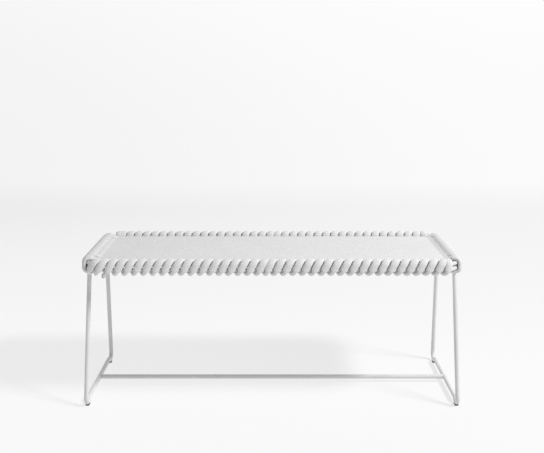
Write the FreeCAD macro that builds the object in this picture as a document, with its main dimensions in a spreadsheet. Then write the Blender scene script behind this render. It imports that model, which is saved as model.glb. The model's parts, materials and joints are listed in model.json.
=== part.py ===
import FreeCAD, Part
import math
import os

import Sketcher

# Garden bench: a seat frame of two stacked bent rods, strung lengthwise with soft cord and bound
# with cord all round its edge, on two bent-rod end frames joined by one low stretcher.
# Millimetres.  +X runs along the bench, +Y to its back edge, +Z up.  The origin is on the floor,
# under the middle of the seat.

os.makedirs("parts", exist_ok=True)
doc = FreeCAD.newDocument("garden_bench")
Vector = FreeCAD.Vector

# ---------------------------------------------------------------- driving dimensions
DIMENSIONS = [
    ("bench_length", 1200.0, "over the cords at both ends"),
    ("bench_depth", 450.0, "over the cords at front and back"),
    ("bench_height", 470.0, "floor to the top of the edge cords"),
    ("rail_rod", 12.0, "diameter of the two seat rails"),
    ("rail_step", 16.0, "upper rail centre above lower rail centre"),
    ("corner_bend", 50.0, "bend radius of the rails on plan"),
    ("leg_rod", 14.0, "diameter of the end frame rod"),
    ("leg_splay", 9.7, "legs from the vertical, degrees"),
    ("leg_top_spread", 274.0, "between the leg centres at their tops"),
    ("foot_bend", 21.0, "bend radius of the foot loop"),
    ("foot_turn", 45.0, "how steeply the loop climbs to the crossbar, degrees"),
    ("knee_bend", 10.0, "bend radius where the loop meets the crossbar"),
    ("cope_bite", 2.5, "how far a leg top rises past the underside of the rail"),
    ("stretcher_rod", 14.0, "diameter of the stretcher"),
    ("brace_rod", 10.0, "diameter of the crosswise braces"),
    ("brace_drop", 8.4, "brace centre below the lower rail centre, between two turns of edge cord"),
    ("brace_set_in", 3.0, "brace ends from the middle of the rails, towards the seat"),
    ("inner_brace_turns", 4.0, "edge cord turns from the seat middle to an inner brace"),
    ("outer_brace_turns", 13.0, "edge cord turns from the seat middle to an outer brace"),
    ("spacer_rod", 8.0, "diameter of the pins between the rails"),
    ("spacer_span", 300.0, "between pins along the front and back"),
    ("spacer_pins", 4.0, "pins along the front, and as many along the back"),
    ("glide_height", 2.0, "plastic under the foot loop"),
    ("glide_width", 12.0, "across the rod"),
    ("glide_length", 22.0, "along the rod"),
    ("glide_wrap", 3.0, "how far the glide climbs the rod"),
    ("glide_corner", 4.0, "radius of the glide's corners on plan"),
    ("cord_thick", 13.0, "cord as wound, across its thin way"),
    ("cord_wide", 17.5, "cord as wound, across its wide way"),
    ("deck_pitch", 23.0, "between neighbouring deck cords"),
    ("deck_cords", 16.0, "cords in the deck"),
    ("deck_rise", 16.0, "deck cord centres above the lower rail centre"),
    ("outer_deck_short", 17.0, "how much sooner the outermost deck cords end"),
    ("leg_room", 3.0, "how far the end turns beside a leg stand away from it"),
    ("edge_pitch", 29.3, "between neighbouring turns on the outside of a long rail"),
    ("edge_turns", 38.0, "turns along a long rail, of two cords wound side by side"),
    ("edge_shift", 6.0, "the row of turns from the middle of its rail"),
    ("edge_face_share", 0.37, "share of a turn's advance on its upright side"),
    ("tail_size", 12.0, "diameter of the cord's sealed end"),
    ("tail_length", 11.0, "length of the sealed end"),
]

sheet = doc.addObject("Spreadsheet::Sheet", "sizes")
for row, (alias, number, note) in enumerate(DIMENSIONS, start=1):
    sheet.set(f"A{row}", alias)
    sheet.set(f"B{row}", str(number))
    sheet.set(f"C{row}", note)
    sheet.setAlias(f"B{row}", alias)
doc.recompute()


def size(alias):
    """A driving dimension, read from the sheet."""
    return float(getattr(sheet, alias))


# Formulas in the sheet's own terms, shared by the expressions and by the shapes set in code.
FORMULAS = {
    "roll_half": "sizes.rail_rod / 2 + sizes.cord_thick",
    "rail_x": "sizes.bench_length / 2 - sizes.rail_rod / 2 - sizes.cord_thick",
    "rail_y": "sizes.bench_depth / 2 - sizes.rail_rod / 2 - sizes.cord_thick",
    "upper_z": "sizes.bench_height - sizes.rail_rod / 2 - sizes.cord_thick",
    "lower_z": "sizes.bench_height - sizes.rail_rod / 2 - sizes.cord_thick - sizes.rail_step",
    "foot_z": "sizes.glide_height + sizes.leg_rod / 2 + sizes.foot_bend",
    "foot_y": (
        "sizes.leg_top_spread / 2 - sizes.foot_bend / cos(sizes.leg_splay * 1 deg)"
        " + (sizes.bench_height - sizes.rail_rod - sizes.cord_thick - sizes.rail_step + sizes.cope_bite"
        " - sizes.glide_height - sizes.leg_rod / 2 - sizes.foot_bend) * tan(sizes.leg_splay * 1 deg)"
    ),
    "bar_z": (
        "sizes.glide_height + sizes.leg_rod / 2"
        " + (sizes.foot_bend + sizes.knee_bend) * (1 - cos(sizes.foot_turn * 1 deg))"
    ),
}


def formula(name):
    """One of the shared formulas as an expression in brackets."""
    return f"({FORMULAS[name]})"


rail_x = size("bench_length") / 2 - size("rail_rod") / 2 - size("cord_thick")
rail_y = size("bench_depth") / 2 - size("rail_rod") / 2 - size("cord_thick")
upper_z = size("bench_height") - size("rail_rod") / 2 - size("cord_thick")
lower_z = upper_z - size("rail_step")
middle_z = (upper_z + lower_z) / 2
foot_z = size("glide_height") + size("leg_rod") / 2 + size("foot_bend")
foot_turn = math.radians(size("foot_turn"))
foot_rise = (size("foot_bend") + size("knee_bend")) * (1 - math.cos(foot_turn))
bar_z = foot_z - size("foot_bend") + foot_rise
leg_top_z = lower_z - size("rail_rod") / 2 + size("cope_bite")
splay = math.radians(size("leg_splay"))
turn_offset = (size("rail_rod") + size("cord_thick")) / 2
turn_half_height = (size("rail_step") + size("rail_rod") + size("cord_thick")) / 2


ALMOST_UPRIGHT = 0.99
TUBE_TOLERANCE = 0.02
ROUTE_CLEARANCE = 0.1


# ---------------------------------------------------------------- helpers
def origin_plane(body, role):
    """A body's own origin plane, such as XY_Plane."""
    for feature in body.Origin.OriginFeatures:
        if feature.Role == role:
            return feature
    raise ValueError(role)


def new_body(label):
    """An empty PartDesign body with the sub-part's name."""
    body = doc.addObject("PartDesign::Body", label)
    body.Label = label
    return body


def flat_sketch(body, name, role):
    """A sketch on one of the body's origin planes."""
    sketch = body.newObject("Sketcher::SketchObject", name)
    sketch.AttachmentSupport = [(origin_plane(body, role), "")]
    sketch.MapMode = "FlatFace"
    return sketch


def rod_along(body, path, diameter):
    """A round rod of the given sheet diameter swept along the body's path sketch."""
    section = body.newObject("Sketcher::SketchObject", body.Label + "_section")
    section.AttachmentSupport = [(path, "Edge1")]
    section.MapMode = "NormalToEdge"
    section.MapPathParameter = 0.0
    section.addGeometry(Part.Circle(Vector(0, 0, 0), Vector(0, 0, 1), size(diameter) / 2), False)
    section.addConstraint(Sketcher.Constraint("Coincident", 0, 3, -1, 1))
    round_size = section.addConstraint(Sketcher.Constraint("Diameter", 0, size(diameter)))
    section.setExpression(f"Constraints[{round_size}]", f"sizes.{diameter}")
    doc.recompute()
    pipe = body.newObject("PartDesign::AdditivePipe", body.Label + "_rod")
    pipe.Profile = section
    pipe.Spine = (path, [f"Edge{i + 1}" for i in range(len(path.Geometry))])
    body.Tip = pipe
    doc.recompute()
    return pipe


def bound(sketch, constraint, expression):
    """Adds a sketch constraint whose value follows an expression on the sheet."""
    index = sketch.addConstraint(constraint)
    sketch.setExpression(f"Constraints[{index}]", expression)


def round_bar(name, diameter, length, base, axis):
    """A round bar as a Part::Cylinder, its sizes and place bound to the sheet."""
    bar = doc.addObject("Part::Cylinder", name)
    bar.setExpression("Radius", f"sizes.{diameter} / 2")
    bar.setExpression("Height", length)
    bar.Placement.Rotation = FreeCAD.Rotation(Vector(0, 0, 1), axis)
    for letter, expression in zip("xyz", base):
        bar.setExpression(f"Placement.Base.{letter}", expression)
    return bar


def cut(label, base, tool):
    """Base with the tool's space taken away, as the finished sub-part."""
    result = doc.addObject("Part::Cut", label)
    result.Label = label
    result.Base = base
    result.Tool = tool
    return result


finished = {}


def keep(label, thing):
    """Marks an object as a finished sub-part."""
    thing.Label = label
    finished[label] = thing
    return thing


# ---------------------------------------------------------------- seat rails
def seat_rail(label, height):
    """A closed ring of bent rod: a rounded rectangle on plan."""
    body = new_body(label)
    path = flat_sketch(body, label + "_path", "XY_Plane")
    bend = size("corner_bend")
    inner_x = rail_x - bend
    inner_y = rail_y - bend
    corners = [
        (inner_x, -inner_y, -90),
        (inner_x, inner_y, 0),
        (-inner_x, inner_y, 90),
        (-inner_x, -inner_y, 180),
    ]
    sides = [
        (Vector(-inner_x, -rail_y, 0), Vector(inner_x, -rail_y, 0)),
        (Vector(rail_x, -inner_y, 0), Vector(rail_x, inner_y, 0)),
        (Vector(inner_x, rail_y, 0), Vector(-inner_x, rail_y, 0)),
        (Vector(-rail_x, inner_y, 0), Vector(-rail_x, -inner_y, 0)),
    ]
    for (start, end), (x, y, from_angle) in zip(sides, corners):
        path.addGeometry(Part.LineSegment(start, end), False)
        circle = Part.Circle(Vector(x, y, 0), Vector(0, 0, 1), bend)
        a = math.radians(from_angle)
        path.addGeometry(Part.ArcOfCircle(circle, a, a + math.pi / 2), False)
    for i in range(8):
        path.addConstraint(Sketcher.Constraint("Tangent", i, 2, (i + 1) % 8, 1))
    path.addConstraint(Sketcher.Constraint("Horizontal", 0))
    path.addConstraint(Sketcher.Constraint("Vertical", 2))
    for i in (3, 5, 7):
        path.addConstraint(Sketcher.Constraint("Equal", 1, i))
    path.addConstraint(Sketcher.Constraint("Symmetric", 0, 1, 4, 1, -1, 1))
    bound(path, Sketcher.Constraint("Radius", 1, bend), "sizes.corner_bend")
    bound(path, Sketcher.Constraint("DistanceY", 0, 1, -1, 1, rail_y), formula("rail_y"))
    bound(path, Sketcher.Constraint("DistanceX", -1, 1, 2, 1, rail_x), formula("rail_x"))
    doc.recompute()
    rod_along(body, path, "rail_rod")
    body.setExpression("Placement.Base.z", formula(height))
    return keep(label, body)


upper_rail = seat_rail("upper_seat_rail", "upper_z")
lower_rail = seat_rail("lower_seat_rail", "lower_z")


def rail_spacers():
    """Pins welded between the two rails, each coped to both rods."""
    pins = []
    count = int(size("spacer_pins"))
    along_x = [size("spacer_span") * (i - (count - 1) / 2) for i in range(count)]
    places = [(x, y) for y in (-rail_y, rail_y) for x in along_x]
    places += [(-rail_x, 0.0), (rail_x, 0.0)]
    for x, y in places:
        pins.append(Part.makeCylinder(size("spacer_rod") / 2, size("rail_step"), Vector(x, y, lower_z)))
    solids = []
    for pin in pins:
        solids += pin.cut([upper_rail.Shape, lower_rail.Shape]).Solids
    spacers = doc.addObject("Part::Feature", "rail_spacers")
    spacers.Shape = Part.makeCompound(solids)
    return keep("rail_spacers", spacers)


# ---------------------------------------------------------------- end frames and stretcher
def end_frame(label, side):
    """One bent rod: leg, foot loop, crossbar, foot loop, leg, coped under the lower seat rail."""
    body = new_body(label + "_rod")
    path = flat_sketch(body, label + "_path", "YZ_Plane")
    bend = size("foot_bend")
    knee = size("knee_bend")
    top = Vector(size("leg_top_spread") / 2, leg_top_z, 0)
    foot_y = top.x + (-bend - (foot_z - top.y) * math.sin(splay)) / math.cos(splay)
    toe = Vector(foot_y + bend * math.cos(splay), foot_z + bend * math.sin(splay), 0)
    climb = -math.pi / 2 - foot_turn
    heel = Vector(foot_y + bend * math.cos(climb), foot_z + bend * math.sin(climb), 0)
    knee_y = foot_y - (bend + knee) * math.sin(foot_turn)
    knee_z = bar_z - knee
    half_turn = math.pi / 2

    def mirrored(point):
        return Vector(-point.x, point.y, 0)

    def arc(x, z, radius, start, end):
        return Part.ArcOfCircle(Part.Circle(Vector(x, z, 0), Vector(0, 0, 1), radius), start, end)

    bar_end = Vector(knee_y, bar_z, 0)
    path.addGeometry(Part.LineSegment(mirrored(top), mirrored(toe)), False)
    path.addGeometry(arc(-foot_y, foot_z, bend, math.pi - splay, math.pi * 1.5 + foot_turn), False)
    path.addGeometry(arc(-knee_y, knee_z, knee, half_turn, half_turn + foot_turn), False)
    path.addGeometry(Part.LineSegment(mirrored(bar_end), bar_end), False)
    path.addGeometry(arc(knee_y, knee_z, knee, half_turn - foot_turn, half_turn), False)
    path.addGeometry(arc(foot_y, foot_z, bend, math.pi * 1.5 - foot_turn, math.pi * 2 + splay), False)
    path.addGeometry(Part.LineSegment(toe, top), False)
    meets = ((0, 2, 1, 1), (1, 2, 2, 2), (2, 1, 3, 1), (3, 2, 4, 2), (4, 1, 5, 1), (5, 2, 6, 1))
    for first, first_end, second, second_end in meets:
        path.addConstraint(Sketcher.Constraint("Tangent", first, first_end, second, second_end))
    path.addConstraint(Sketcher.Constraint("Symmetric", 0, 1, 6, 2, -2))
    path.addConstraint(Sketcher.Constraint("Symmetric", 3, 1, 3, 2, -2))
    path.addConstraint(Sketcher.Constraint("Equal", 1, 5))
    path.addConstraint(Sketcher.Constraint("Equal", 2, 4))
    bound(path, Sketcher.Constraint("Radius", 1, bend), "sizes.foot_bend")
    bound(path, Sketcher.Constraint("Radius", 2, knee), "sizes.knee_bend")
    bound(path, Sketcher.Constraint("DistanceX", 0, 1, 6, 2, 2 * top.x), "sizes.leg_top_spread")
    bound(path, Sketcher.Constraint("DistanceY", -1, 1, 5, 3, foot_z), formula("foot_z"))
    doc.recompute()
    rod_along(body, path, "leg_rod")
    body.setExpression("Placement.Base.x", f"{side} * {formula('rail_x')}")
    seat = round_bar(
        label + "_cope",
        "rail_rod",
        "sizes.bench_depth",
        (f"{side} * {formula('rail_x')}", "-sizes.bench_depth / 2", formula("lower_z")),
        Vector(0, 1, 0),
    )
    return keep(label, cut(label, body, seat))


left_frame = end_frame("left_end_frame", -1)
right_frame = end_frame("right_end_frame", 1)


def stretcher():
    """A straight rod from crossbar to crossbar, coped to both."""
    half = f"({formula('rail_x')} - sizes.leg_rod / 4)"
    rod = round_bar(
        "stretcher_rod_blank",
        "stretcher_rod",
        f"2 * {half}",
        (f"-{half}", "0", formula("bar_z")),
        Vector(1, 0, 0),
    )
    bars = []
    for name, side in (("left_bar", -1), ("right_bar", 1)):
        bars.append(
            round_bar(
                name,
                "leg_rod",
                "sizes.leg_top_spread / 2",
                (f"{side} * {formula('rail_x')}", "-sizes.leg_top_spread / 4", formula("bar_z")),
                Vector(0, 1, 0),
            )
        )
    left_coped = cut("stretcher_left_coped", rod, bars[0])
    return keep("stretcher", cut("stretcher", left_coped, bars[1]))


# ---------------------------------------------------------------- braces and glides
def brace(label, side, turns):
    """A rod across the seat frame between two turns of edge cord, coped under the lower rail."""
    middle = f"({side} * sizes.edge_pitch * (sizes.{turns} + 0.5))"
    half = f"({formula('rail_y')} - sizes.brace_set_in)"
    rod = round_bar(
        label + "_blank",
        "brace_rod",
        f"2 * {half}",
        (middle, f"-{half}", f"{formula('lower_z')} - sizes.brace_drop"),
        Vector(0, 1, 0),
    )
    rails = []
    for name, end in (("_front_rail", -1), ("_back_rail", 1)):
        rails.append(
            round_bar(
                label + name,
                "rail_rod",
                "2 * sizes.edge_pitch",
                (f"{middle} - sizes.edge_pitch", f"{end} * {formula('rail_y')}", formula("lower_z")),
                Vector(1, 0, 0),
            )
        )
    front_coped = cut(label + "_front_coped", rod, rails[0])
    return keep(label, cut(label, front_coped, rails[1]))


def foot_glide(label, side, end, frame):
    """A plastic shoe clipped under a foot loop, hollowed to the rod."""
    block = doc.addObject("Part::Box", label + "_blank")
    block.setExpression("Length", "sizes.glide_width")
    block.setExpression("Width", "sizes.glide_length")
    block.setExpression("Height", "sizes.glide_height + sizes.glide_wrap")
    block.setExpression("Placement.Base.x", f"{side} * {formula('rail_x')} - sizes.glide_width / 2")
    block.setExpression("Placement.Base.y", f"{end} * {formula('foot_y')} - sizes.glide_length / 2")
    doc.recompute()
    rounded = doc.addObject("Part::Fillet", label + "_rounded")
    rounded.Base = block
    corner = size("glide_corner")
    upright = []
    for index, edge in enumerate(block.Shape.Edges, start=1):
        if abs(edge.tangentAt(edge.FirstParameter).z) > ALMOST_UPRIGHT:
            upright.append((index, corner, corner))
    rounded.Edges = upright
    return keep(label, cut(label, rounded, frame))


# ---------------------------------------------------------------- cords
def tube(route):
    """Cord swept along a wire, with its volume compared with section times length."""
    start = route.OrderedEdges[0]
    ahead = start.tangentAt(start.FirstParameter)
    ring = Part.Circle(route.OrderedVertexes[0].Point, ahead, size("cord_thick") / 2)
    solid = route.makePipeShell([Part.Wire([ring.toShape()])], True, False)
    expected = math.pi * size("cord_thick") ** 2 / 4 * route.Length
    if abs(solid.Volume / expected - 1) > TUBE_TOLERANCE:
        raise RuntimeError(f"a cord's volume is {solid.Volume / expected:.3f} of what its length gives")
    return solid


def rounded_route(points, bend):
    """Straight runs between the points, joined by tangent arcs of the given radius."""
    edges = []
    run_start = points[0]
    for before, corner, after in zip(points, points[1:], points[2:]):
        arriving = (corner - before).normalize()
        leaving = (after - corner).normalize()
        turn = arriving.getAngle(leaving)
        reach = bend * math.tan(turn / 2)
        arc_start = corner - arriving * reach
        arc_end = corner + leaving * reach
        to_centre = (leaving - arriving).normalize()
        crown = corner + to_centre * (bend / math.cos(turn / 2) - bend)
        edges.append(Part.LineSegment(run_start, arc_start).toShape())
        edges.append(Part.Arc(arc_start, crown, arc_end).toShape())
        run_start = arc_end
    edges.append(Part.LineSegment(run_start, points[-1]).toShape())
    return Part.Wire(edges)


def front_rail_point(along, out, z):
    """A point by its distance along the front rail, out from it and up, round both corners."""
    bend = size("corner_bend")
    straight = rail_x - bend
    past = max(abs(along) - straight, 0.0) / bend
    x = min(abs(along), straight) + (bend + out) * math.sin(past)
    y = -(rail_y - bend) - (bend + out) * math.cos(past)
    return Vector(math.copysign(x, along), y, z)


def wound_points(first_turn, turns, advance, starts_as_tail):
    """Corner points of one cord wound round the front rails, from its first turn's outer side.

    first_turn is where the middle of that outer side lies along the rail."""
    face = size("edge_face_share") * advance
    crossing = advance / 2 - face
    low, high = middle_z - turn_half_height, middle_z + turn_half_height
    points = []
    for i in range(turns):
        foot = first_turn + i * advance - face / 2
        if i or not starts_as_tail:
            points.append(front_rail_point(foot - crossing, -turn_offset, low))
        points.append(front_rail_point(foot, turn_offset, low))
        points.append(front_rail_point(foot + face, turn_offset, high))
        points.append(front_rail_point(foot + face + crossing, -turn_offset, high))
    inner_foot = front_rail_point(foot + 2 * face + crossing, -turn_offset, low)
    points.append((points[-1] + inner_foot) * 0.5)
    if not starts_as_tail:
        inner_head = front_rail_point(first_turn - 1.5 * face - crossing, -turn_offset, high)
        points.insert(0, (points[0] + inner_head) * 0.5)
    return points


def edge_cord(label, turned):
    """Two cords wound side by side along a long rail and into both corners."""
    pitch = size("edge_pitch")
    count = int(size("edge_turns"))
    first = size("edge_shift") - (count - 1) / 2 * pitch
    half = FreeCAD.Rotation(Vector(0, 0, 1), turned)
    solids = []
    for start, is_second in ((first, False), (first + pitch, True)):
        points = wound_points(start, count // 2, 2 * pitch, is_second)
        route = rounded_route([half.multVec(p) for p in points], turn_offset - ROUTE_CLEARANCE)
        solids.append(tube(route))
    cord = doc.addObject("Part::Feature", label)
    cord.Shape = Part.makeCompound(solids)
    return keep(label, cord)


def turn_shape():
    """One closed turn of cord round both rails about the origin, in the XZ plane."""
    straight = turn_half_height - turn_offset
    top = Vector(0, 0, straight)
    bottom = Vector(0, 0, -straight)
    out = Vector(turn_offset, 0, 0)
    crown = Vector(0, 0, turn_half_height)
    edges = [
        Part.LineSegment(bottom + out, top + out).toShape(),
        Part.Arc(top + out, crown, top - out).toShape(),
        Part.LineSegment(top - out, bottom - out).toShape(),
        Part.Arc(bottom - out, crown.negative(), bottom + out).toShape(),
    ]
    return tube(Part.Wire(edges))


def end_cord(label, end):
    """The deck cords' turns over the left (end -1) or right (end 1) rails, side by side."""
    count = int(size("deck_cords"))
    pitch = size("deck_pitch")
    bend = size("corner_bend")
    leg_y = size("leg_top_spread") / 2
    turns = []
    for i in range(count):
        y = (i - (count - 1) / 2) * pitch
        from_leg = abs(y) - leg_y
        if abs(from_leg) < pitch * 3 / 4:
            y += math.copysign(size("leg_room"), y * from_leg)
        past = max(abs(y) - (rail_y - bend), 0.0)
        swing = math.copysign(math.asin(past / bend), y)
        x = rail_x - bend + bend * math.cos(swing)
        turn = turn_shape()
        turned = FreeCAD.Rotation(Vector(0, 0, 1), end * math.degrees(swing))
        turn.Placement = FreeCAD.Placement(Vector(end * x, y, middle_z), turned)
        turns.append(turn)
    cord = doc.addObject("Part::Feature", label)
    cord.Shape = Part.makeCompound(turns)
    return keep(label, cord)


def deck_cord(number):
    """One straight run of cord, level with the upper rail, from one end roll to the other."""
    label = f"deck_cord_{number:02d}"
    count = int(size("deck_cords"))
    outermost = number in (1, count)
    reach = "sizes.bench_length / 2 - sizes.rail_rod - 2 * sizes.cord_thick"
    if outermost:
        reach += " - sizes.outer_deck_short"
    section = doc.addObject("Part::Ellipse", label + "_section")
    section.setExpression("MajorRadius", "sizes.cord_wide / 2")
    section.setExpression("MinorRadius", "sizes.cord_thick / 2")
    across, up, ahead = Vector(0, 1, 0), Vector(0, 0, 1), Vector(1, 0, 0)
    section.Placement.Rotation = FreeCAD.Rotation(across, up, ahead, "ZXY")
    section.setExpression("Placement.Base.x", f"-({reach})")
    place = f"({number} - (sizes.deck_cords + 1) / 2) * sizes.deck_pitch"
    section.setExpression("Placement.Base.y", place)
    section.setExpression("Placement.Base.z", f"{formula('lower_z')} + sizes.deck_rise")
    run = doc.addObject("Part::Extrusion", label)
    run.Base = section
    run.DirMode = "Custom"
    run.Dir = Vector(1, 0, 0)
    run.setExpression("LengthFwd", f"2 * ({reach})")
    run.Solid = True
    return keep(label, run)


def cord_tail():
    """The sealed end of the second front edge cord, pointing down at the foot of its first turn."""
    second = "sizes.edge_shift - ((sizes.edge_turns - 1) / 2 - 1) * sizes.edge_pitch"
    turn_half = "(sizes.rail_step + sizes.rail_rod + sizes.cord_thick) / 2"
    tail = round_bar(
        "cord_tail",
        "tail_size",
        "sizes.tail_length",
        (
            f"{second} - sizes.edge_face_share * sizes.edge_pitch",
            f"-{formula('rail_y')} - (sizes.rail_rod + sizes.cord_thick) / 2",
            f"{formula('lower_z')} + sizes.rail_step / 2 - {turn_half} - sizes.tail_length",
        ),
        Vector(0, 0, 1),
    )
    return keep("cord_tail", tail)


# ---------------------------------------------------------------- assembly
doc.recompute()
rail_spacers()
stretcher()
for side_name, side in (("left", -1), ("right", 1)):
    for place in ("inner", "outer"):
        brace(f"{side_name}_{place}_brace", side, f"{place}_brace_turns")
for frame_label, frame, side in (("left", left_frame, -1), ("right", right_frame, 1)):
    for end_label, end in (("front", -1), ("back", 1)):
        foot_glide(f"{end_label}_{frame_label}_glide", side, end, frame)
for number in range(1, int(size("deck_cords")) + 1):
    deck_cord(number)
edge_cord("front_edge_cord", 0)
edge_cord("back_edge_cord", 180)
end_cord("left_end_cord", -1)
end_cord("right_end_cord", 1)
cord_tail()
doc.recompute()

# ---------------------------------------------------------------- check and write
for thing in doc.Objects:
    if "Invalid" in thing.State or "Error" in thing.State:
        raise RuntimeError(f"{thing.Label} did not compute: {thing.State}")
for label, thing in finished.items():
    if thing.Shape.isNull() or not thing.Shape.isValid() or not thing.Shape.Solids:
        raise RuntimeError(f"{label} has no sound shape")
for label, thing in finished.items():
    thing.Shape.exportStep(f"parts/{label}.step")
    box = thing.Shape.BoundBox
    print(
        f"{label}: {len(thing.Shape.Solids)} solid(s), {thing.Shape.Volume / 1000:.1f} cm3,",
        f"x {box.XMin:.1f}..{box.XMax:.1f} y {box.YMin:.1f}..{box.YMax:.1f}",
        f"z {box.ZMin:.1f}..{box.ZMax:.1f}",
    )
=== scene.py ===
import json
import math

import bmesh
import bpy
import numpy as np
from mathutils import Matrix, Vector


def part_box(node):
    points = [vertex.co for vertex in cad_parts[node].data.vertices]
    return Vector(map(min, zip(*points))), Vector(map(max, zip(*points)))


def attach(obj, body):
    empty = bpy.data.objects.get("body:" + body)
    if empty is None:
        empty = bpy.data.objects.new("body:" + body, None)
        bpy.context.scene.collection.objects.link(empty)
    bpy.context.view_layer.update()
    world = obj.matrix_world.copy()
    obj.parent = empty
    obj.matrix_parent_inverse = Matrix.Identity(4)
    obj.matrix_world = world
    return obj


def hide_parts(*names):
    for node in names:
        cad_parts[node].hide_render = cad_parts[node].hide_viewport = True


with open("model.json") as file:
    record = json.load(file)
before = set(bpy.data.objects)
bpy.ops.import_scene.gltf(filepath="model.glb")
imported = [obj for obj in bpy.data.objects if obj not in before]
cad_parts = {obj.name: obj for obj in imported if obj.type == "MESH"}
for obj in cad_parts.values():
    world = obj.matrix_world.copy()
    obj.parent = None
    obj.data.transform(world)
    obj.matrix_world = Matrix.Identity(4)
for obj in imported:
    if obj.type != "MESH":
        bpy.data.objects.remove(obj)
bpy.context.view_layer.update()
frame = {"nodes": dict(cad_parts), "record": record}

# Garden bench: a rod frame in off-white powder coat, strung and bound with braided cord.
# Metres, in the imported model's own frame: +X along the bench, +Y to the back, +Z up.

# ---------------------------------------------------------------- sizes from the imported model
rail_low, rail_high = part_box("lower_seat_rail")
upper_low, upper_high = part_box("upper_seat_rail")
ROD = (rail_high.z - rail_low.z) / 2
RAIL_X = rail_high.x - ROD
RAIL_Y = rail_high.y - ROD
LOWER_Z = (rail_low.z + rail_high.z) / 2
UPPER_Z = (upper_low.z + upper_high.z) / 2
MIDDLE_Z = (LOWER_Z + UPPER_Z) / 2
deck_low, deck_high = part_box("deck_cord_08")
THICK = deck_high.z - deck_low.z
WIDE = deck_high.y - deck_low.y
DECK_Z = (deck_low.z + deck_high.z) / 2
OFFSET = ROD + THICK / 2
DECK_CORDS = sorted(name for name in frame["nodes"] if name.startswith("deck_cord_"))
DECK_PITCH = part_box(DECK_CORDS[1])[0].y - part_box(DECK_CORDS[0])[0].y
tail_low, tail_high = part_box("cord_tail")

# The rest repeats part.py's driving dimensions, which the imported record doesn't carry.
CORNER_BEND = 0.050
LEG_TOP_Y = 0.137
LEG_ROOM = 0.003
EDGE_PITCH = 0.0293
EDGE_TURNS = 38
EDGE_SHIFT = 0.006

# The wound cord lies flat on the rails' upright side and gathers as it turns under them. The deck
# cords flatten until they almost touch.
EDGE_FLAT = 0.0235
EDGE_GATHERED = 0.0125
DECK_WIDE = WIDE * 1.31

# ---------------------------------------------------------------- how the cord is drawn
FINE_STEP = 0.0005
RING_STEP = 0.0018
RING_SIDES = 20
RELIEF = 0.00009
UV_PER_METRE = 100.0


# ---------------------------------------------------------------- centrelines
def rounded_line(points, bends):
    """A dense line through 2-D points, its inner corners rounded to the given radii."""
    pieces = []
    start = points[0]
    for corner, after, bend in zip(points[1:-1], points[2:], bends):
        arriving = (corner - start) / np.linalg.norm(corner - start)
        leaving = (after - corner) / np.linalg.norm(after - corner)
        turn = math.acos(float(np.clip(arriving @ leaving, -1, 1)))
        reach = bend * math.tan(turn / 2)
        arc_start, arc_end = corner - arriving * reach, corner + leaving * reach
        pieces.append(straight(start, arc_start))
        side = np.sign(arriving[0] * leaving[1] - arriving[1] * leaving[0])
        normal = np.array([-arriving[1], arriving[0]]) * side
        centre = arc_start + normal * bend
        angles = np.linspace(0, turn, max(3, int(bend * turn / FINE_STEP)))[:, None]
        pieces.append(centre - normal * bend * np.cos(angles) + arriving * bend * np.sin(angles))
        start = arc_end
    pieces.append(straight(start, points[-1]))
    return np.vstack(pieces)


def straight(start, end):
    """A dense straight run, without its end point."""
    count = max(2, int(np.linalg.norm(end - start) / FINE_STEP))
    return start + (end - start) * np.linspace(0, 1, count, endpoint=False)[:, None]


def spaced(line, step):
    """The line's rows at even spacing, with the distance along; x, y and z are its first columns."""
    gaps = np.linalg.norm(np.diff(line[:, :3], axis=0), axis=1)
    distance = np.concatenate(([0], np.cumsum(gaps)))
    count = max(2, int(round(distance[-1] / step)) + 1)
    places = np.linspace(0, distance[-1], count)
    columns = [np.interp(places, distance, line[:, k]) for k in range(line.shape[1])]
    return np.stack(columns, axis=1), places


def softened(line, reach):
    """The line with its kinks eased over the given distance; both ends stay."""
    half = max(1, int(reach / FINE_STEP / 2))
    padded = np.vstack([np.repeat(line[:1], half, axis=0), line, np.repeat(line[-1:], half, axis=0)])
    kernel = np.ones(2 * half + 1) / (2 * half + 1)
    columns = [np.convolve(padded[:, k], kernel, mode="valid") for k in range(line.shape[1])]
    eased = np.stack(columns, axis=1)
    eased[0], eased[-1] = line[0], line[-1]
    return eased


def unit(rows):
    """Each row at length one."""
    return rows / np.linalg.norm(rows, axis=1, keepdims=True)


def smooth(share):
    """A share from 0 to 1 that starts and stops gently."""
    return share * share * (3 - 2 * share)


# ---------------------------------------------------------------- cord surface
def cord_surface(line, outward, wide):
    """Rings of vertices of one braided cord along a line, flat side outward, and their distances.

    Each row of the line has its own outward direction and width."""
    rows, places = spaced(np.hstack([line, outward, wide[:, None]]), RING_STEP)
    centre, out, half = rows[:, :3], rows[:, 3:6], rows[:, 6:] / 2
    ahead = unit(np.gradient(centre, axis=0))
    out = unit(out - ahead * np.sum(out * ahead, axis=1, keepdims=True))
    across = np.cross(ahead, out)
    rings = len(centre)
    angle = np.arange(RING_SIDES) * 2 * math.pi / RING_SIDES
    checker = 1 - 2 * ((np.arange(rings)[:, None] + np.arange(RING_SIDES)[None, :]) % 2)
    half_wide = half - RELIEF + RELIEF * checker
    half_thick = THICK / 2 - RELIEF + RELIEF * checker
    vertices = (
        centre[:, None, :]
        + across[:, None, :] * (np.cos(angle)[None, :] * half_wide)[:, :, None]
        + out[:, None, :] * (np.sin(angle)[None, :] * half_thick)[:, :, None]
    )
    return vertices, places


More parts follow.
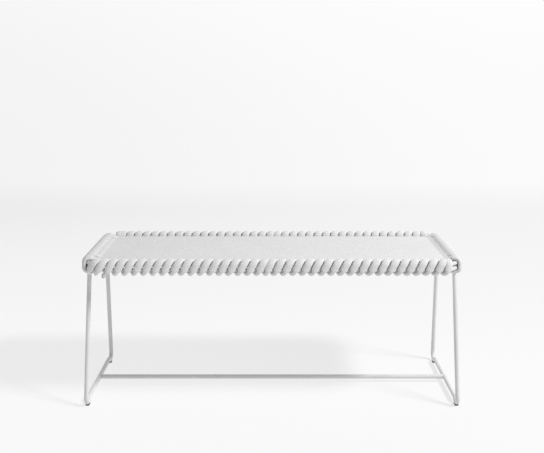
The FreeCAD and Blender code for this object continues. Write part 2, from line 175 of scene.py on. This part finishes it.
class Strands:
    """Cords gathered into one mesh, each a closed tube with capped ends."""

    def __init__(self):
        self.count = 0
        self.vertices = []
        self.faces = []
        self.uvs = []

    def add(self, line, outward, wide):
        """Adds one cord, its two ends capped."""
        grid, places = cord_surface(line, outward, wide)
        base = self.count
        rings = len(grid)
        self.count += rings * RING_SIDES
        self.vertices.append(grid.reshape(-1, 3))
        ring, side = np.meshgrid(np.arange(rings - 1), np.arange(RING_SIDES), indexing="ij")
        ring, side = ring.ravel(), side.ravel()
        after = (side + 1) % RING_SIDES
        here, there = base + ring * RING_SIDES, base + (ring + 1) * RING_SIDES
        self.faces += np.stack([here + side, here + after, there + after, there + side], axis=1).tolist()
        along = places * UV_PER_METRE
        left, right = side / RING_SIDES, (side + 1) / RING_SIDES
        start, end = along[ring], along[ring + 1]
        corners = [left, start, right, start, right, end, left, end]
        self.uvs.append(np.stack(corners, axis=1).ravel())
        last = base + (rings - 1) * RING_SIDES
        for first, height, order in ((base, along[0], -1), (last, along[-1], 1)):
            self.faces.append(list(range(first, first + RING_SIDES))[::order])
            cap = [(k / RING_SIDES, height) for k in range(RING_SIDES)][::order]
            self.uvs.append(np.array(cap).ravel())

    def piece(self, name, material, slot, *nodes):
        """Makes the gathered cords a finished piece that stands for the given CAD nodes."""
        mesh = bpy.data.meshes.new(name)
        mesh.from_pydata(np.vstack(self.vertices).tolist(), [], self.faces)
        layer = mesh.uv_layers.new(name="cord_uv")
        layer.data.foreach_set("uv", np.concatenate(self.uvs).astype(np.float32))
        mesh.polygons.foreach_set("use_smooth", [len(face) == 4 for face in self.faces])
        mesh.materials.append(material)
        mesh.update()
        finished_piece(name, mesh, slot, *nodes)


def finished_piece(name, mesh, slot, *nodes):
    """Makes an object of the mesh that rides on the frame, and hides the nodes it replaces; the slot is not
    used.
    """
    piece = bpy.data.objects.new(name, mesh)
    bpy.context.scene.collection.objects.link(piece)
    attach(piece, "root")
    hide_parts(*nodes)


# ---------------------------------------------------------------- materials
def node_material(name, roughness):
    """A material with an empty Principled shader, and its node tree."""
    material = bpy.data.materials.new(name)
    material.use_nodes = True
    tree = material.node_tree
    shader = tree.nodes["Principled BSDF"]
    shader.inputs["Roughness"].default_value = roughness
    return material, tree, shader


def maths(tree, operation, *values):
    """A Math node's output; each value is a number or another node's output."""
    node = tree.nodes.new("ShaderNodeMath")
    node.operation = operation
    for socket, value in zip(node.inputs, values):
        if isinstance(value, (int, float)):
            socket.default_value = value
        else:
            tree.links.new(value, socket)
    return node.outputs[0]


def noise(tree, vector, scale, detail):
    """A noise texture's height."""
    node = tree.nodes.new("ShaderNodeTexNoise")
    node.inputs["Scale"].default_value = scale
    node.inputs["Detail"].default_value = detail
    tree.links.new(vector, node.inputs["Vector"])
    return node.outputs["Fac"]


def ramp(tree, factor, stops):
    """A colour ramp through the given stops."""
    node = tree.nodes.new("ShaderNodeValToRGB")
    elements = node.color_ramp.elements
    while len(elements) < len(stops):
        elements.new(0.5)
    for element, (place, colour) in zip(elements, stops):
        element.position = place
        element.color = (*colour, 1)
    tree.links.new(factor, node.inputs["Fac"])
    return node.outputs["Color"]


def bump(tree, shader, height, strength, distance):
    """Bends the shader's normal by a height."""
    node = tree.nodes.new("ShaderNodeBump")
    node.inputs["Strength"].default_value = strength
    node.inputs["Distance"].default_value = distance
    tree.links.new(height, node.inputs["Height"])
    tree.links.new(node.outputs["Normal"], shader.inputs["Normal"])


BRAID_YARNS = 9.0
BRAID_CLIMB = 1.9


def cord_material(name, light, groove_shade, wear):
    """Braided cord: yarns crossing both ways round it, with painted shade darkening the grooves between
    them, and a soft nap.
    """
    material, tree, shader = node_material(name, 0.88)
    shader.inputs["Specular IOR Level"].default_value = 0.25
    uv = tree.nodes.new("ShaderNodeUVMap")
    uv.uv_map = "cord_uv"
    split = tree.nodes.new("ShaderNodeSeparateXYZ")
    tree.links.new(uv.outputs["UV"], split.inputs[0])
    around = maths(tree, "MULTIPLY", split.outputs["X"], BRAID_YARNS)
    along = maths(tree, "MULTIPLY", split.outputs["Y"], BRAID_CLIMB)
    forward = maths(tree, "SINE", maths(tree, "MULTIPLY", maths(tree, "ADD", around, along), math.pi))
    backward = maths(tree, "SINE", maths(tree, "MULTIPLY", maths(tree, "SUBTRACT", around, along), math.pi))
    crown = maths(tree, "ABSOLUTE", maths(tree, "MULTIPLY", forward, backward))
    height = maths(tree, "POWER", crown, 0.5)
    place = tree.nodes.new("ShaderNodeTexCoord")
    fibre = noise(tree, place.outputs["Object"], 900.0, 2.0)
    patch = noise(tree, place.outputs["Object"], 14.0, 3.0)
    shade = maths(tree, "ADD", maths(tree, "MULTIPLY", height, 0.72), maths(tree, "MULTIPLY", fibre, 0.28))
    # Painted shade: the braid's grooves between the yarn crowns take the darker groove colour.
    weave_with_groove_shade = ramp(tree, shade, [(0.05, groove_shade), (0.45, light), (1.0, light)])
    soiled = ramp(tree, patch, [(0.3, wear), (0.7, (1.0, 1.0, 1.0))])
    mix = tree.nodes.new("ShaderNodeMix")
    mix.data_type = "RGBA"
    mix.blend_type = "MULTIPLY"
    mix.inputs["Factor"].default_value = 1.0
    tree.links.new(weave_with_groove_shade, mix.inputs["A"])
    tree.links.new(soiled, mix.inputs["B"])
    tree.links.new(mix.outputs["Result"], shader.inputs["Base Color"])
    relief = maths(tree, "ADD", height, maths(tree, "MULTIPLY", fibre, 0.35))
    bump(tree, shader, relief, 0.25, 0.0004)
    return material


def coated_metal(name, light, dim):
    """Powder coat: a satin skin with a fine orange-peel grain and slight unevenness."""
    material, tree, shader = node_material(name, 0.42)
    place = tree.nodes.new("ShaderNodeTexCoord")
    grain = noise(tree, place.outputs["Object"], 1400.0, 3.0)
    cloud = noise(tree, place.outputs["Object"], 9.0, 2.0)
    speck = maths(tree, "ADD", maths(tree, "MULTIPLY", grain, 0.35), maths(tree, "MULTIPLY", cloud, 0.65))
    tree.links.new(ramp(tree, speck, [(0.35, dim), (0.6, light)]), shader.inputs["Base Color"])
    rough = maths(tree, "ADD", 0.34, maths(tree, "MULTIPLY", grain, 0.16))
    tree.links.new(rough, shader.inputs["Roughness"])
    bump(tree, shader, grain, 0.12, 0.0002)
    return material


def moulded_plastic(name, light, dim):
    """Matt moulded plastic with a fine spark-eroded grain."""
    material, tree, shader = node_material(name, 0.55)
    place = tree.nodes.new("ShaderNodeTexCoord")
    grain = noise(tree, place.outputs["Object"], 2200.0, 2.0)
    tree.links.new(ramp(tree, grain, [(0.3, dim), (0.7, light)]), shader.inputs["Base Color"])
    tree.links.new(maths(tree, "ADD", 0.45, maths(tree, "MULTIPLY", grain, 0.2)), shader.inputs["Roughness"])
    bump(tree, shader, grain, 0.2, 0.0002)
    return material


def grey(value):
    """A neutral colour."""
    return (value, value, value)


paint = coated_metal("powder_coat", grey(0.69), grey(0.64))
glide_plastic = moulded_plastic("glide_plastic", grey(0.085), grey(0.055))
deck_cord = cord_material("deck_braid", grey(0.71), grey(0.56), grey(0.975))
edge_cord = cord_material("edge_braid", grey(0.72), grey(0.53), grey(0.97))
# The end turns get a darker copy of the same cord: painted shade on the end rolls.
end_cord = cord_material("shaded_end_braid", grey(0.68), grey(0.50), grey(0.97))
sealed_cord = cord_material("sealed_braid", grey(0.58), grey(0.44), grey(0.93))


# ---------------------------------------------------------------- edge cords
OBROUND_SIDE = UPPER_Z - LOWER_Z
OBROUND_ARC = math.pi * OFFSET
OBROUND = 2 * (OBROUND_SIDE + OBROUND_ARC)
OUTWARD_STEP = 0.001

# Two cords share a row, so each moves on by two pitches a turn. They end half a turn early, inside.
TWO_TURNS = 2 * EDGE_PITCH
FIRST_TURN = EDGE_SHIFT - (EDGE_TURNS - 1) / 2 * EDGE_PITCH
LAST_TURN_CUT = 0.5

# The first cord starts with an extra turn of its own, which lies close beside its next one.
ALONE_FROM = -1.3 * OBROUND
ALONE_UNTIL = -OBROUND / 4
ALONE_PITCH = 0.0240

# The second cord starts at its loose end, which hangs from the lower rail, a little to the left
# of where the CAD has it.
TAIL_TOP = -OBROUND_SIDE / 2 - OBROUND_ARC / 4
TAIL_ASIDE = 0.004
TAIL_X = (tail_low.x + tail_high.x) / 2 - TAIL_ASIDE
TAIL_BEND = 0.006


def round_rails(distance):
    """Offsets out and up from the rails' middle, and the outward normal, by distance round them.

    It starts half way up the outer side and goes up and over."""
    d = np.mod(distance + OBROUND_SIDE / 2, OBROUND)
    on_outer = d < OBROUND_SIDE
    on_top = (d >= OBROUND_SIDE) & (d < OBROUND_SIDE + OBROUND_ARC)
    on_inner = (d >= OBROUND_SIDE + OBROUND_ARC) & (d < 2 * OBROUND_SIDE + OBROUND_ARC)
    over = np.clip((d - OBROUND_SIDE) / OFFSET, 0, math.pi)
    under = np.clip((d - 2 * OBROUND_SIDE - OBROUND_ARC) / OFFSET, 0, math.pi)
    half = OBROUND_SIDE / 2
    normal_out = np.select([on_outer, on_top, on_inner], [1.0, np.cos(over), -1.0], -np.cos(under))
    normal_up = np.select([on_outer, on_top, on_inner], [0.0, np.sin(over), 0.0], -np.sin(under))
    level = np.select(
        [on_outer, on_top, on_inner], [d - half, half, half - (d - OBROUND_SIDE - OBROUND_ARC)], -half
    )
    return normal_out * OFFSET, level + normal_up * OFFSET, normal_out, normal_up


def on_front_rail(along, out, up):
    """Points by distance along the front rail, out from it and up, following both corners."""
    straight_half = RAIL_X - CORNER_BEND
    past = np.maximum(np.abs(along) - straight_half, 0) / CORNER_BEND
    side = np.sign(along)
    x = np.minimum(np.abs(along), straight_half) + (CORNER_BEND + out) * np.sin(past)
    y = -(RAIL_Y - CORNER_BEND) - (CORNER_BEND + out) * np.cos(past)
    return np.stack([side * x, y, MIDDLE_Z + up], axis=1)


# Turns crowd together at the corner where the cords end, into the room left there, and to either
# side of one place near the middle. The middle's crowding fades out towards that corner.
CROWD_FROM = 0.528
CROWD_ROOM = 0.020
MIDDLE_PLACE = -0.014
MIDDLE_REACH = 0.010
MIDDLE_SQUEEZE = 0.0028
FADE_END = 0.35
FADE_LENGTH = 0.25


def bunched(along):
    """Distances along the rail, with the turns crowded at the last corner and at the middle."""
    past = np.maximum(along - CROWD_FROM, 0)
    along = np.minimum(along, CROWD_FROM) + CROWD_ROOM * np.tanh(past / CROWD_ROOM)
    fading = np.clip((FADE_END - along) / FADE_LENGTH, 0, 1)
    return along - MIDDLE_SQUEEZE * np.tanh((along - MIDDLE_PLACE) / MIDDLE_REACH) * fading


# How far a cord has moved on at each eighth of a turn: from half way up the outer side, over the
# top and down the inner side. It moves on most as it comes to the lower rail there, then goes
# under and back up.
MOVED_ON = (0.0, 0.1295, 0.25, 0.306, 0.367, 0.648, 0.7387, 0.8924, 1.0)
EIGHTHS = np.linspace(0, 1, len(MOVED_ON))
EASING = np.linspace(-0.06, 0.06, 9)


def advance(distance):
    """How far a cord has moved along the rails by a distance round them."""
    total = 0.0
    for shift in EASING:
        turn = distance / OBROUND + shift
        whole = np.floor(turn)
        total = total + whole + np.interp(turn - whole, EIGHTHS, MOVED_ON)
    return TWO_TURNS * total / len(EASING)


# Round the rails, in radians from half way up the outer side, a turn is flat about FLAT_MIDDLE, and
# a little wider past INNER_FROM. The level and slope set where it gathers, and how quickly.
FLAT_MIDDLE = 1.239
FLAT_LEVEL = 0.956
FLAT_SLOPE = 2.4
INNER_FROM = 1.1
INNER_EXTRA = 0.003


def edge_width(distance):
    """The wound cord's width, flat outside, on top and inside, and gathered underneath."""
    angle = 2 * math.pi * distance / OBROUND
    flat = np.clip(FLAT_LEVEL + FLAT_SLOPE * np.cos(angle - FLAT_MIDDLE), 0, 1)
    inner = np.clip(np.sin(angle - INNER_FROM), 0, 1)
    return EDGE_GATHERED + (EDGE_FLAT - EDGE_GATHERED + INNER_EXTRA * inner) * flat


def edge_line(first, distance):
    """Line and outward directions of one wound cord over a range of distance round the rails.

    The turn before the row is alone, so it lies close beside the next one."""
    out, up, normal_out, normal_up = round_rails(distance)
    alone = smooth(np.clip((ALONE_UNTIL - distance) / (OBROUND / 2), 0, 1))
    along = bunched(first + advance(distance) + alone * (TWO_TURNS - ALONE_PITCH))
    line = on_front_rail(along, out, up)
    outside = on_front_rail(along, out + normal_out * OUTWARD_STEP, up + normal_up * OUTWARD_STEP)
    return line, unit(outside - line)


def edge_winding(name, node, turned):
    """The two cords wound side by side along one long rail; only the second has a loose end."""
    strands = Strands()
    turn = np.array([math.cos(turned), math.cos(turned), 1.0])
    end = (EDGE_TURNS // 2 - LAST_TURN_CUT) * OBROUND
    distance = np.arange(ALONE_FROM, end, FINE_STEP)
    line, outward = edge_line(FIRST_TURN, distance)
    strands.add(line * turn, outward * turn, edge_width(distance))
    distance = np.arange(TAIL_TOP, end, FINE_STEP)
    line, outward = edge_line(FIRST_TURN + EDGE_PITCH, distance)
    line, outward, width = with_tail(line, outward, edge_width(distance))
    strands.add(line * turn, outward * turn, width)
    strands.piece(name, edge_cord, "edge_cord", node)


def with_tail(line, outward, width):
    """The cord with its loose end added, straight down from where the winding starts."""
    tail_end = np.array([TAIL_X, line[0][1], tail_high.z])
    run = straight(tail_end, line[0])
    joined = softened(np.vstack([run, line]), TAIL_BEND)
    outward = np.vstack([np.repeat(outward[:1], len(run), axis=0), outward])
    return joined, outward, np.concatenate([np.repeat(width[:1], len(run)), width])


edge_winding("front_edge_winding", "front_edge_cord", 0.0)
edge_winding("back_edge_winding", "back_edge_cord", math.pi)


# ---------------------------------------------------------------- deck cords and end turns
# A cord's way round the end rails: out from their centreline, height, and bend radius. From the
# deck it rises over the rails, goes down outside them and back under, and turns up at its end.
ROUND_RAIL = OFFSET - 0.0001
PROFILE = [
    (-0.110, DECK_Z, None),
    (-0.0330, DECK_Z, 0.012),
    (-0.0060, UPPER_Z + OFFSET, 0.012),
    (OFFSET, UPPER_Z + OFFSET, ROUND_RAIL),
    (OFFSET, LOWER_Z - OFFSET, ROUND_RAIL),
    (-0.0230, LOWER_Z - OFFSET, 0.008),
    (-0.0330, LOWER_Z - OFFSET + 0.0075, None),
]
PROFILE_EASE = 0.003

# A deck cord swings to its place on the rail over this stretch, and the deck strand ends at CUT.
SWING_FROM = -0.075
CUT = -(OFFSET + THICK / 2)

# Where the cords rise from the deck to the end rail they draw in, so the gaps between them open.
RISE_AT = -0.020
RISE_REACH = 0.009
RISE_PINCH = 0.34


def end_profile():
    """The deck cord's way up over the end rails and back under them, with its outward normal."""
    points = [np.array(p[:2]) for p in PROFILE]
    line = softened(rounded_line(points, [p[2] for p in PROFILE[1:-1]]), PROFILE_EASE)
    ahead = unit(np.gradient(line, axis=0))
    return line, np.stack([-ahead[:, 1], ahead[:, 0]], axis=1)


def end_place(y):
    """Where a deck cord crosses the end rail, clear of the legs: its y, and its swing on the corner."""
    from_leg = abs(y) - LEG_TOP_Y
    if abs(from_leg) < abs(DECK_PITCH) * 3 / 4:
        y += math.copysign(LEG_ROOM, y * from_leg)
    past = max(abs(y) - (RAIL_Y - CORNER_BEND), 0.0)
    return y, math.copysign(math.asin(past / CORNER_BEND), y)


def end_run(deck_y, end):
    """One deck cord's run round the right (end 1) or left (end -1) rails.

    Its line, outward directions and widths, and how many of its rows belong to the deck strand."""
    profile, normal = end_profile()
    y, swing = end_place(deck_y)
    crossing = RAIL_X - CORNER_BEND + CORNER_BEND * math.cos(swing)
    reach = np.maximum(profile[:, 0], -OFFSET)
    x = crossing + reach * math.cos(swing) + (profile[:, 0] - reach)
    over_rail = y + reach * math.sin(swing)
    ease = smooth(np.clip((profile[:, 0] - SWING_FROM) / (-SWING_FROM - OFFSET), 0, 1))
    across = deck_y + (over_rail - deck_y) * ease
    line = np.stack([end * x, across, profile[:, 1]], axis=1)
    outward = np.stack(
        [end * normal[:, 0] * math.cos(swing), normal[:, 0] * math.sin(swing), normal[:, 1]], axis=1
    )
    above = (profile[:, 1] > MIDDLE_Z) & (np.arange(len(x)) < len(x) // 2)
    pinch = np.exp(-((profile[:, 0] - RISE_AT) / RISE_REACH) ** 2) * above
    width = DECK_WIDE * (1 - RISE_PINCH * pinch)
    return line, outward, width, int(np.count_nonzero(above & (profile[:, 0] <= CUT)))


def string_deck_cord(number, node):
    """One deck cord: its strand along the deck, and its turns round the rails at both ends."""
    low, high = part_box(node)
    deck_y = (low.y + high.y) / 2
    left, left_out, left_wide, left_cut = end_run(deck_y, -1)
    right, right_out, right_wide, right_cut = end_run(deck_y, 1)
    middle = straight(left[0], right[0])
    up = np.repeat([[0.0, 0.0, 1.0]], len(middle), axis=0)
    full = np.full(len(middle), DECK_WIDE)
    strand = Strands()
    strand.add(
        np.vstack([left[:left_cut][::-1], middle, right[:right_cut]]),
        np.vstack([left_out[:left_cut][::-1], up, right_out[:right_cut]]),
        np.concatenate([left_wide[:left_cut][::-1], full, right_wide[:right_cut]]),
    )
    strand.piece(f"deck_strand_{number:02d}", deck_cord, "deck_cord", node)
    left_turns.add(left[left_cut - 1:], left_out[left_cut - 1:], left_wide[left_cut - 1:])
    right_turns.add(right[right_cut - 1:], right_out[right_cut - 1:], right_wide[right_cut - 1:])


left_turns, right_turns = Strands(), Strands()
for number, node in enumerate(DECK_CORDS, start=1):
    string_deck_cord(number, node)
left_turns.piece("left_end_turns", end_cord, "edge_cord", "left_end_cord")
right_turns.piece("right_end_turns", end_cord, "edge_cord", "right_end_cord")


# ---------------------------------------------------------------- sealed tail
TAIL_SIDES = 28
TAIL_TUCK = 0.002
YARN_RIDGE = 0.03
TAIL_DEPTH = 0.92
# How far down the tail each ring lies, and its share of the tail's radius.
TAIL_RINGS = [(0.0, 0.95), (0.25, 0.97), (0.5, 1.0), (0.75, 1.0), (0.9, 0.97), (0.97, 0.86), (1.0, 0.6)]


def tail_ring(shape, centre, share, width):
    """One ring of the tail's vertices, ridged by its yarns."""
    radius = (tail_high.x - tail_low.x) / 2
    z = tail_high.z + TAIL_TUCK - (tail_high.z - tail_low.z + TAIL_TUCK) * share
    ring = []
    for k in range(TAIL_SIDES):
        angle = 2 * math.pi * k / TAIL_SIDES
        reach = radius * width * (1 - YARN_RIDGE * (k % 2))
        x = centre[0] + reach * math.cos(angle)
        y = centre[1] + reach * TAIL_DEPTH * math.sin(angle)
        ring.append(shape.verts.new((x, y, z)))
    return ring


def map_tail(shape, centre):
    """The tail's cord_uv: once round it across, and its height along."""
    layer = shape.loops.layers.uv.new("cord_uv")
    for face in shape.faces:
        for loop in face.loops:
            co = loop.vert.co
            turn = math.atan2(co.y - centre[1], co.x - centre[0]) / (2 * math.pi) + 0.5
            loop[layer].uv = (turn, co.z * UV_PER_METRE)


def sealed_tail():
    """The cord's heat-sealed end: yarns drawn together, flattened and slightly flared."""
    centre = edge_line(FIRST_TURN + EDGE_PITCH, np.array([TAIL_TOP]))[0][0]
    centre[0] = TAIL_X
    mesh = bpy.data.meshes.new("sealed_tail")
    shape = bmesh.new()
    rings = [tail_ring(shape, centre, share, width) for share, width in TAIL_RINGS]
    for upper, lower in zip(rings, rings[1:]):
        for k in range(TAIL_SIDES):
            after = (k + 1) % TAIL_SIDES
            shape.faces.new((upper[k], lower[k], lower[after], upper[after]))
    shape.faces.new(rings[0])
    shape.faces.new(rings[-1][::-1])
    for face in shape.faces:
        face.smooth = len(face.verts) == 4
    bmesh.ops.recalc_face_normals(shape, faces=shape.faces)
    map_tail(shape, centre)
    shape.to_mesh(mesh)
    shape.free()
    mesh.materials.append(sealed_cord)
    finished_piece("sealed_tail", mesh, "sealed_cord", "cord_tail")


sealed_tail()

# ---------------------------------------------------------------- carried-over nodes
SLOT_MATERIALS = {"frame_paint": paint, "glide_plastic": glide_plastic}
SMOOTH_ANGLE = math.radians(35)


def dress(node, material):
    """Gives a CAD node its material, and smooth shading across its round faces."""
    thing = frame["nodes"][node]
    thing.data.materials.clear()
    thing.data.materials.append(material)
    thing.data.set_sharp_from_angle(angle=SMOOTH_ANGLE)
    thing.data.polygons.foreach_set("use_smooth", [True] * len(thing.data.polygons))


for part in frame["record"]["subparts"]:
    if part["material_slot"] in SLOT_MATERIALS:
        dress(part["node"], SLOT_MATERIALS[part["material_slot"]])


# ---------------------------------------------------------------- floor, light and camera
FLOOR_REACH = 14.0
WALL_START = 3.0
WALL_BEND = 2.2
WALL_TOP = 9.0
BEND_STEPS = 24

# The paper glows with painted light in place of the light falling on it: a base, and painted falloff in its
# change per metre towards the wall, up it as far as GLOW_TOP, up the bend's foot, and across, which
# itself changes towards the wall.
GLOW = 0.68
GLOW_BACK = -0.004
GLOW_UP = 0.025
GLOW_FOOT = 0.5
FOOT_HEIGHT = 0.11
GLOW_TOP = 1.5
GLOW_ACROSS = -0.032
ACROSS_BACK = 0.013


def paper_glow(tree, place):
    """The paper's emission strength by place."""
    spot = tree.nodes.new("ShaderNodeSeparateXYZ")
    tree.links.new(place, spot.inputs[0])
    back = maths(tree, "MINIMUM", spot.outputs["Y"], WALL_START)
    up = maths(tree, "MULTIPLY", maths(tree, "MINIMUM", spot.outputs["Z"], GLOW_TOP), GLOW_UP)
    foot = maths(tree, "MULTIPLY", maths(tree, "MINIMUM", spot.outputs["Z"], FOOT_HEIGHT), GLOW_FOOT)
    deep = maths(tree, "MULTIPLY_ADD", back, GLOW_BACK, GLOW)
    slope = maths(tree, "MULTIPLY_ADD", back, ACROSS_BACK, GLOW_ACROSS)
    glow = maths(tree, "ADD", deep, maths(tree, "ADD", up, foot))
    return maths(tree, "ADD", glow, maths(tree, "MULTIPLY", spot.outputs["X"], slope))


def studio_paper():
    """Matt white paper with a faint grain, glowing with painted light that changes by place."""
    material, tree, shader = node_material("studio_paper", 0.95)
    place = tree.nodes.new("ShaderNodeTexCoord").outputs["Object"]
    grain = noise(tree, place, 40.0, 2.0)
    tree.links.new(ramp(tree, grain, [(0.2, grey(0.245)), (0.8, grey(0.255))]), shader.inputs["Base Color"])
    shader.inputs["Specular IOR Level"].default_value = 0.0
    shader.inputs["Emission Color"].default_value = (1, 1, 1, 1)
    tree.links.new(paper_glow(tree, place), shader.inputs["Emission Strength"])
    return material


def sweep():
    """A pale floor that curves up into a wall behind the bench."""
    profile = [(-FLOOR_REACH, 0.0), (WALL_START, 0.0)]
    for i in range(1, BEND_STEPS + 1):
        angle = math.pi / 2 * i / BEND_STEPS
        out, up = math.sin(angle), math.cos(angle)
        profile.append((WALL_START + WALL_BEND * out, WALL_BEND - WALL_BEND * up))
    profile.append((WALL_START + WALL_BEND, WALL_TOP))
    mesh = bpy.data.meshes.new("studio_floor")
    shape = bmesh.new()
    left = [shape.verts.new((-FLOOR_REACH, y, z)) for y, z in profile]
    right = [shape.verts.new((FLOOR_REACH, y, z)) for y, z in profile]
    for i in range(len(profile) - 1):
        face = shape.faces.new((left[i], right[i], right[i + 1], left[i + 1]))
        face.smooth = True
    shape.to_mesh(mesh)
    shape.free()
    mesh.materials.append(studio_paper())
    floor = bpy.data.objects.new("studio_floor", mesh)
    bpy.context.scene.collection.objects.link(floor)


def area_light(name, place, target, size, power):
    """A rectangular soft light aimed at a point."""
    lamp = bpy.data.lights.new(name, "AREA")
    lamp.shape = "RECTANGLE"
    lamp.size, lamp.size_y = size
    lamp.energy = power
    light = bpy.data.objects.new(name, lamp)
    light.location = place
    light.rotation_euler = (Vector(target) - Vector(place)).to_track_quat("-Z", "Y").to_euler()
    bpy.context.scene.collection.objects.link(light)


SURROUNDINGS = 0.34
KEY_TOWARD = Vector((0.35, -0.18, 0.43)).normalized()
KEY_DISTANCE = 6.0
KEY_TARGET = (0, 0, 0.3)
KEY_SIZE = (1.36, 0.71)
KEY_POWER = 285.0


def studio():
    """Even white surroundings, with one soft key light from the right, front and above."""
    world = bpy.data.worlds.new("studio")
    world.use_nodes = True
    background = world.node_tree.nodes["Background"]
    background.inputs["Color"].default_value = (1, 1, 1, 1)
    background.inputs["Strength"].default_value = SURROUNDINGS
    bpy.context.scene.world = world
    area_light("key", KEY_TOWARD * KEY_DISTANCE, KEY_TARGET, KEY_SIZE, KEY_POWER)
    bpy.context.scene.view_settings.view_transform = "Standard"


SENSOR = 36.0
LENS = 56.20
VIEW_SHIFT = -0.24
EYE = (0.0, -2.8123, 1.1086)
LOOK_DOWN = 2.916


def camera():
    """The view from the front, a little above the seat and almost level."""
    data = bpy.data.cameras.new("camera")
    data.sensor_width = SENSOR
    data.lens = LENS
    data.shift_y = VIEW_SHIFT
    eye = bpy.data.objects.new("camera", data)
    eye.location = EYE
    eye.rotation_euler = (math.radians(90 - LOOK_DOWN), 0, 0)
    bpy.context.scene.collection.objects.link(eye)
    bpy.context.scene.camera = eye


sweep()
studio()
camera()
